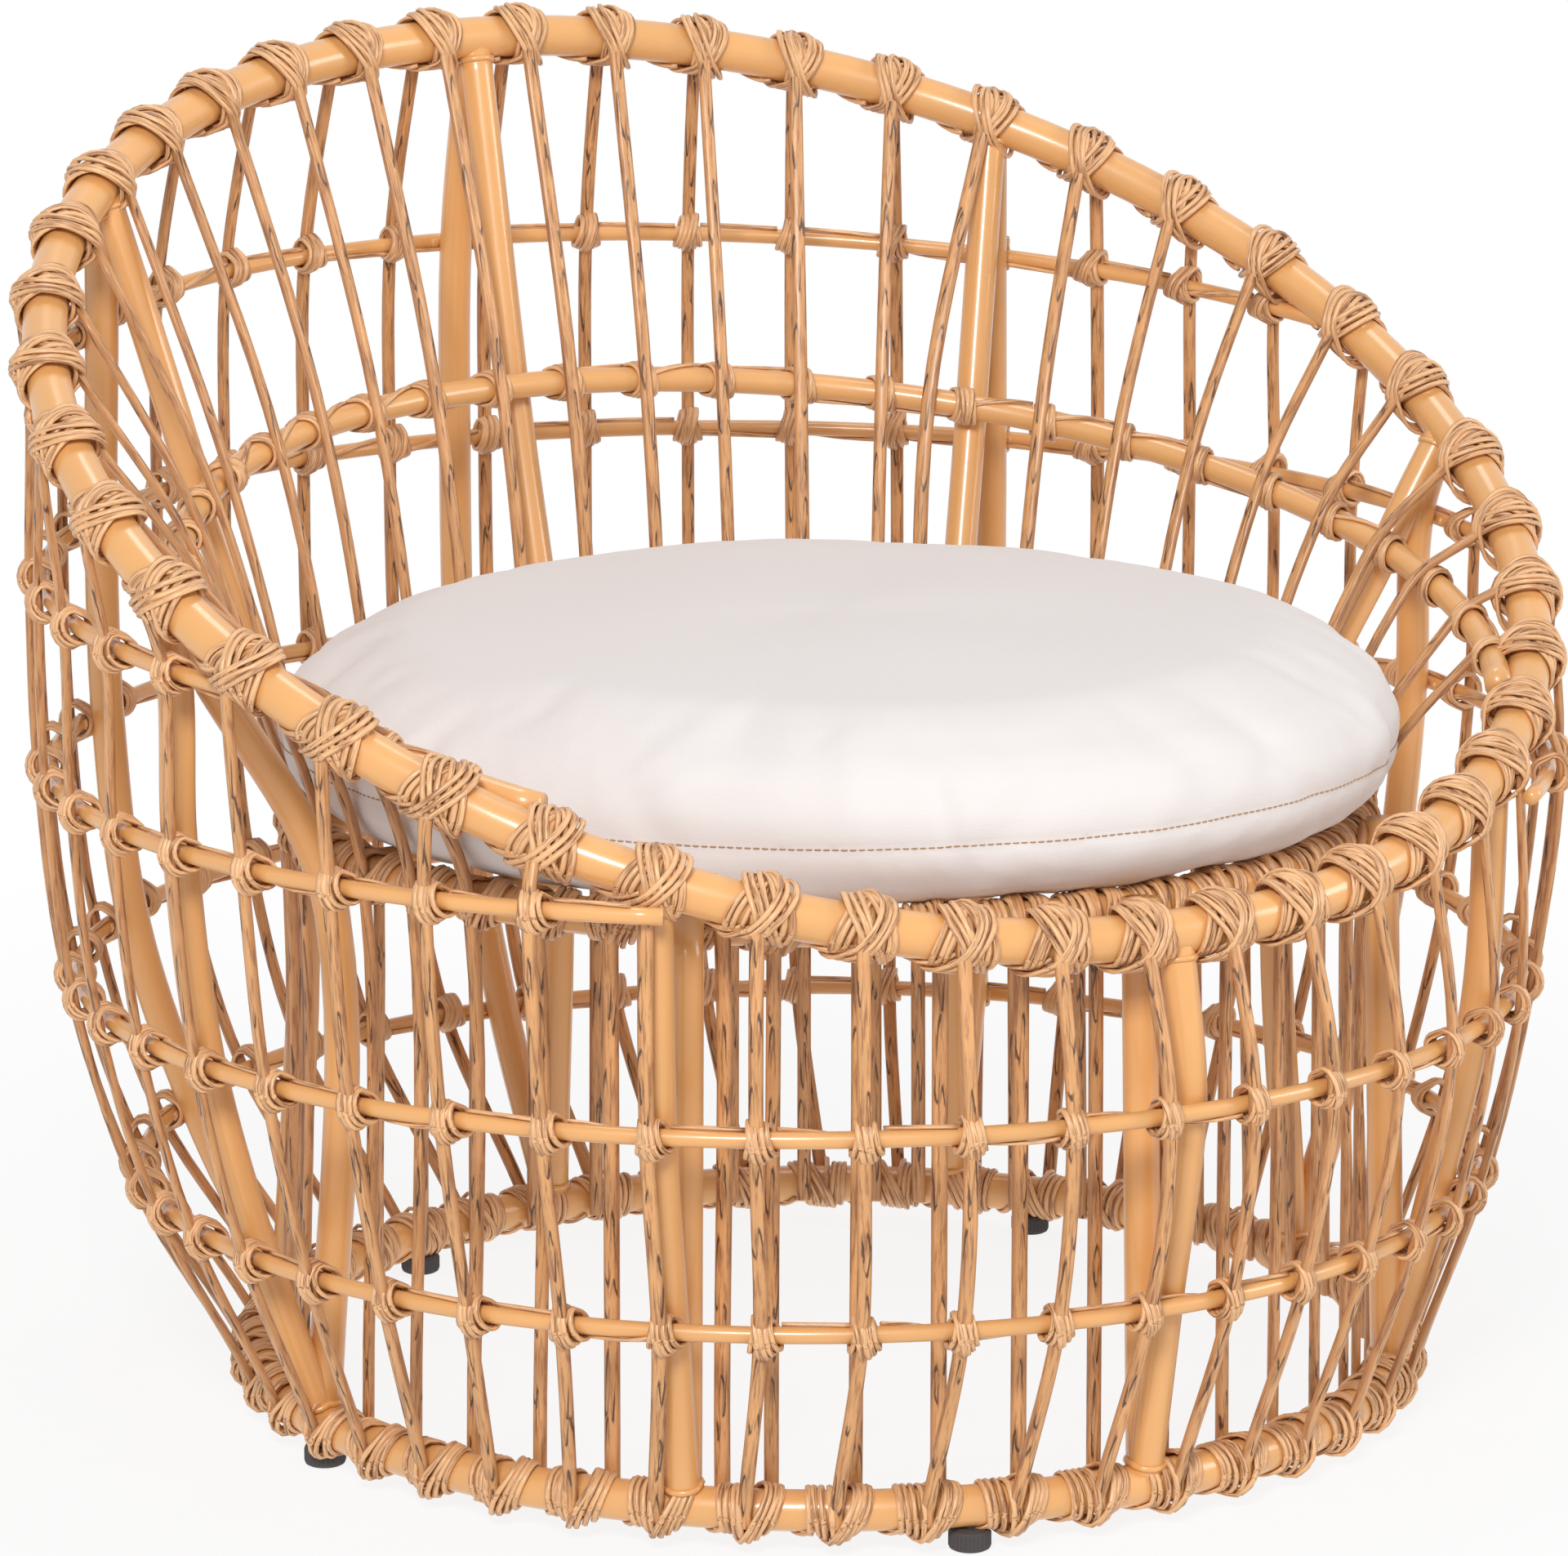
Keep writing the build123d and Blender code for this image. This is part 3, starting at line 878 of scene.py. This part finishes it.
class CHAIR_OT_lashings(bpy.types.Operator):
    """Tie the strands to the rim, the hoops, the seat ring and the base ring"""

    bl_idname = "chair.lashings"
    bl_label = "Lashings"

    def tie(self, name, knot, ring, angles, seed, **settings):
        """One piece of lashings, a knot at each angle."""
        rng = Random(seed)
        sweeps = Sweeps()
        for angle in angles:
            knot(sweeps, ring, angle, rng, **settings)
        sweeps.piece(name, finish_named("cane_strip"), slot="cane")

    def execute(self, context):
        self.tie("rim_lashings", rim_knot, RIM, STRAND_ANGLES, 1)
        for number, hoop in enumerate(HOOPS, start=1):
            angles = [a for a in STRAND_ANGLES if hoop in crossed_rings(a)]
            self.tie(f"hoop_{number}_lashings", hoop_knot, hoop, angles, 1 + number)
        angles = [a for a in STRAND_ANGLES if BACK_HOOP.has(a)]
        self.tie("back_hoop_lashings", hoop_knot, BACK_HOOP, angles, 8, side=-1)
        self.tie("seat_ring_lashings", ring_knot, SEAT, STRAND_ANGLES, 9)
        self.tie("base_ring_lashings", ring_knot, BASE, [a - FOOT_TURN for a in STRAND_ANGLES], 10)
        return {"FINISHED"}


# The least and the most of a pucker's place round the cushion, width in radians, depth, lean and top
PUCKER_LIMITS = ((-pi, pi), (0.016, 0.06), (0.0014, 0.0042), (-3.5, 3.5), (0.055, 0.085))


class CHAIR_OT_cushion(bpy.types.Operator):
    """Make the round cushion, inflate its cover and sew its side seam"""

    bl_idname = "chair.cushion"
    bl_label = "Cushion"

    def execute(self, context):
        sizes = context.scene.chair_sizes
        low, _, middle = packed_ends("seat_cushion")
        cushion = self.block(middle, low.z, sizes)
        self.inflate(cushion)
        self.settle(cushion, middle, low.z, sizes)
        cushion.data.materials.clear()
        cushion.data.materials.append(finish_named("cushion_canvas"))
        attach(cushion, "cushion")
        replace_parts(cushion, "seat_cushion")
        self.stitch(cushion, middle, low.z + sizes.seam_height, sizes.cushion_radius)
        return {"FINISHED"}

    def profile(self, sizes):
        """Half the cushion's outline, from the underside up to the crown, as pairs of reach and height."""
        edge = sizes.cushion_radius - 0.004
        height = sizes.cushion_height
        seam = sizes.seam_height
        under = [(edge * 0.90 * share, 0.003) for share in np.linspace(0, 1, 9)[1:]]
        side = [(edge * 0.955, 0.010), (edge * 0.985, 0.022), (edge, seam), (edge * 0.993, seam + 0.018),
                (edge * 0.972, seam + 0.032), (edge * 0.935, height * 0.76), (edge * 0.86, height * 0.84)]
        inward = np.linspace(0.78, 0.08, 10)
        crown = [(edge * share, height * (0.86 + 0.10 * (1 - share**2))) for share in inward]
        return under + side + crown

    def block(self, middle, bottom, sizes):
        """A crowned disc, drawn in above and below its seam, as an even mesh."""
        mesh = bpy.data.meshes.new("cushion_cover")
        verts, faces = lathe(self.profile(sizes), middle, bottom, 72)
        mesh.from_pydata(verts, [], faces)
        mesh.update()
        cushion = link("cushion_cover", mesh)
        remesh = cushion.modifiers.new("even", "REMESH")
        remesh.mode = "VOXEL"
        remesh.voxel_size = 0.0075
        self.bake_modifiers(cushion)
        return cushion

    def bake_modifiers(self, piece):
        """Turns a piece's modifiers into its mesh."""
        graph = bpy.context.evaluated_depsgraph_get()
        mesh = bpy.data.meshes.new_from_object(piece.evaluated_get(graph))
        piece.modifiers.clear()
        old = piece.data
        piece.data = mesh
        bpy.data.meshes.remove(old)

    def inflate(self, piece):
        """Blows the cover up with cloth simulation, and caps how far it moves."""
        scene = bpy.context.scene
        frames = 20
        farthest = 0.007
        before = points_of(piece)
        cloth = piece.modifiers.new("fill", "CLOTH")
        rules = cloth.settings
        rules.use_pressure = True
        rules.uniform_pressure_force = 4.0
        rules.effector_weights.gravity = 0.0
        rules.quality = 6
        rules.tension_stiffness = 12.0
        cloth.point_cache.frame_start = 1
        cloth.point_cache.frame_end = frames
        for step in range(1, frames + 1):
            scene.frame_set(step)
        self.bake_modifiers(piece)
        scene.frame_set(1)
        move = points_of(piece) - before
        far = np.linalg.norm(move, axis=1, keepdims=True)
        move *= np.minimum(1.0, farthest / np.maximum(far, 1e-9))
        move_points(piece, before + move)

    def puckers(self, turn, level):
        """How deep the gathers in the cloth above the seam are, at some turns and heights from the seam."""
        rng = Random(5)
        depths = np.zeros(len(turn))
        for _ in range(46):
            place, width, depth, lean, top = [rng.uniform(*limits) for limits in PUCKER_LIMITS]
            away = np.angle(np.exp(1j * (turn - place - lean * level)))
            upward = np.exp(-(((level - 0.022) / (top - 0.035)) ** 2))
            depths += depth * np.exp(-((away / width) ** 2)) * upward * (1 if rng.random() < 0.6 else -0.7)
        return depths

    def settle(self, piece, middle, bottom, sizes):
        """Presses the underside flat, puckers the cloth above the seam and draws the seam in."""
        subdivide = piece.modifiers.new("smooth", "SUBSURF")
        subdivide.levels = 1
        self.bake_modifiers(piece)
        radius = sizes.cushion_radius
        points = points_of(piece)
        hub = np.array([middle.x, middle.y])
        plan = points[:, :2] - hub
        reach = np.linalg.norm(plan, axis=1)
        turn = np.arctan2(plan[:, 1], plan[:, 0])
        height = points[:, 2] - bottom
        level = height - sizes.seam_height
        side = np.clip((reach - radius * 0.80) / (radius * 0.2), 0, 1)
        pucker = self.puckers(turn, level)
        groove = 0.0013 * np.exp(-((level / 0.0024) ** 2))
        swell = 0.0016 * np.exp(-(((level - 0.014) / 0.009) ** 2))
        swell += 0.0012 * np.exp(-(((level + 0.013) / 0.008) ** 2))
        shift = (swell - groove - pucker) * side
        points[:, :2] += plan / np.maximum(reach, 1e-6)[:, None] * shift[:, None]
        dents = 0.0012 * np.sin(turn * 3 + 1.0) * np.sin(reach * 21)
        dents += 0.0008 * np.sin(points[:, 0] * 31 + 2) * np.sin(points[:, 1] * 27)
        gathers = pucker * side * (1 - side) * 1.6
        points[:, 2] += np.where(height > sizes.cushion_height * 0.5, dents - gathers, 0.0)
        points[:, 2] = np.maximum(points[:, 2], bottom + 0.0004)
        plan = points[:, :2] - hub
        reach = np.linalg.norm(plan, axis=1)
        points[:, :2] = hub + plan * np.minimum(1.0, (radius + 0.004) / np.maximum(reach, 1e-6))[:, None]
        piece.data.polygons.foreach_set("use_smooth", [True] * len(piece.data.polygons))
        move_points(piece, points)

    def stitch(self, cushion, middle, level, radius):
        """Short stitches of thread round the seam, lying on the cover."""
        graph = bpy.context.evaluated_depsgraph_get()
        graph.update()
        shape = cushion.evaluated_get(graph)
        sweeps = Sweeps()
        stitches = 430
        for number in range(stitches):
            line = []
            facing = []
            for share in np.linspace(0.08, 0.80, 4):
                turn = 2 * pi * (number + share) / stitches
                outward = Vector((cos(turn), sin(turn), 0.0))
                start = Vector((middle.x, middle.y, level)) + outward * (radius + 0.05)
                hit, place, _, _ = shape.ray_cast(start, -outward)
                if not hit:
                    raise RuntimeError("a stitch finds no cushion cover under it")
                line.append(place + outward * (0.0003 if 0.2 < share < 0.7 else -0.0001))
                facing.append(outward)
            sweeps.add(np.array(line), np.array(facing), 0.0008, 0.0007, 5)
        sweeps.piece("seam_thread", finish_named("stitch_thread"), body="cushion", slot="cushion_cloth")


# A foot's outline below its stud, as pairs of reach and height
FOOT_PROFILE = ((0.0092, 0.0), (0.0106, 0.0008), (0.0113, 0.0024), (0.0113, 0.0088), (0.0104, 0.0106),
                (0.0070, 0.0117))
STUD = 0.0040  # the stud's radius


class CHAIR_OT_feet(bpy.types.Operator):
    """Make the ridged levelling feet on their studs"""

    bl_idname = "chair.feet"
    bl_label = "Levelling feet"

    def execute(self, context):
        ridges = context.scene.chair_sizes.foot_ridges
        for number in range(1, FEET + 1):
            low, high, middle = packed_ends(f"foot_{number}")
            profile = [*FOOT_PROFILE, (STUD, FOOT_PROFILE[-1][1]), (STUD, high.z - low.z)]
            verts, faces = lathe(profile, middle, low.z, ridges * 4, ridges, (2, 3))
            foot = new_piece(f"foot_pad_{number}", verts, faces, finish_named("foot_plastic"),
                             body=f"levelling_foot_{number}", slot="foot_plastic", smooth=False)
            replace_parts(foot, f"foot_{number}")
        return {"FINISHED"}


# The lamps: name, place, the height on the axis that they look at, size and power
LAMPS = (
    ("key_lamp", (-2.2, -2.8, 2.5), 0.35, 1.0, 112),
    ("fill_lamp", (2.8, -2.2, 1.6), 0.3, 1.3, 38),
    ("top_lamp", (0.2, 0.6, 3.2), 0.4, 1.0, 18),
)
FLOOR_HALF = 14
LOOK_AT = (0.0, AXIS_Y, 0.343)
CAMERA_AWAY = 3.814
CAMERA_TURN = -31.4
CAMERA_RISE = 12.06


class CHAIR_OT_stage(bpy.types.Operator):
    """Set the floor, the studio lamps, the background and the camera"""

    bl_idname = "chair.stage"
    bl_label = "Stage"

    def floor(self):
        """A wide white floor just under the feet."""
        mesh = bpy.data.meshes.new("floor")
        corners = [(x * FLOOR_HALF, y * FLOOR_HALF, 0) for x, y in ((-1, -1), (1, -1), (1, 1), (-1, 1))]
        mesh.from_pydata(corners, [], [(0, 1, 2, 3)])
        floor = link("floor", mesh)
        floor.location.z = -0.0005
        mesh.materials.append(finish_named("pale_floor"))

    def lamp(self, name, place, height, size, power):
        """A soft square lamp that looks at a point on the world's axis."""
        data = bpy.data.lights.new(name, "AREA")
        data.size = size
        data.energy = power
        lamp = link(name, data)
        lamp.location = place
        lamp.rotation_euler = (Vector((0, 0, height)) - Vector(place)).to_track_quat("-Z", "Y").to_euler()

    def background(self, scene):
        """White where the camera, metal or glass sees it, and dimmer as a light."""
        scene.world = bpy.data.worlds.new("studio")
        scene.world.use_nodes = True
        node = Nodes(scene.world.node_tree)
        glass = node.make("LightPath", None, "Is Transmission Ray")
        metal = node.make("LightPath", None, "Is Glossy Ray")
        seen = node.make("LightPath", None, "Is Camera Ray").most(metal.most(glass))
        background = node.tree.nodes["Background"]
        background.inputs[0].default_value = (1.0, 1.0, 1.0, 1.0)
        node.put(background.inputs[1], node.make("MapRange", Value=seen, in_3=0.34, in_4=1.0))

    def camera(self, scene):
        """A long lens at the front, a little above the rim's front."""
        data = bpy.data.cameras.new("camera")
        data.lens = 158.8
        data.sensor_width = 36.0
        data.shift_x = -0.028
        data.shift_y = -0.0013
        camera = link("camera", data)
        azimuth = radians(CAMERA_TURN)
        elevation = radians(CAMERA_RISE)
        away = Vector((sin(azimuth) * cos(elevation), -cos(azimuth) * cos(elevation), sin(elevation)))
        camera.location = Vector(LOOK_AT) + away * CAMERA_AWAY
        camera.rotation_euler = (-away).to_track_quat("-Z", "Y").to_euler()
        scene.camera = camera

    def execute(self, context):
        scene = context.scene
        self.floor()
        for lamp in LAMPS:
            self.lamp(*lamp)
        self.background(scene)
        self.camera(scene)
        scene.view_settings.view_transform = "Standard"
        return {"FINISHED"}


class CHAIR_PT_panel(bpy.types.Panel):
    """Lists the chair's sizes, colours and makers"""

    bl_idname = "CHAIR_PT_panel"
    bl_label = "Basket chair"
    bl_space_type = "VIEW_3D"
    bl_region_type = "UI"
    bl_category = "Basket chair"

    def draw(self, context):
        for group in (context.scene.chair_sizes, context.scene.chair_colours):
            for name in group.__annotations__:
                self.layout.prop(group, name)
        for operator in MAKERS:
            self.layout.operator(operator.bl_idname)


MAKERS = (CHAIR_OT_rings, CHAIR_OT_uprights, CHAIR_OT_welds, CHAIR_OT_strands, CHAIR_OT_lashings,
          CHAIR_OT_cushion, CHAIR_OT_feet, CHAIR_OT_stage)
CLASSES = (ChairSizes, ChairColours, *MAKERS, CHAIR_PT_panel)


def register():
    """Registers the add-on's classes and its properties."""
    for cls in CLASSES:
        bpy.utils.register_class(cls)
    bpy.types.Scene.chair_sizes = PointerProperty(type=ChairSizes)
    bpy.types.Scene.chair_colours = PointerProperty(type=ChairColours)


def unregister():
    """Takes the add-on's properties and classes away."""
    del bpy.types.Scene.chair_colours
    del bpy.types.Scene.chair_sizes
    for cls in reversed(CLASSES):
        bpy.utils.unregister_class(cls)


def main():
    """Builds the whole chair and its stage."""
    register()
    bpy.ops.chair.rings()
    bpy.ops.chair.uprights()
    bpy.ops.chair.welds()
    bpy.ops.chair.strands()
    bpy.ops.chair.lashings()
    bpy.ops.chair.cushion()
    bpy.ops.chair.feet()
    bpy.ops.chair.stage()


if __name__ == "__main__":
    main()
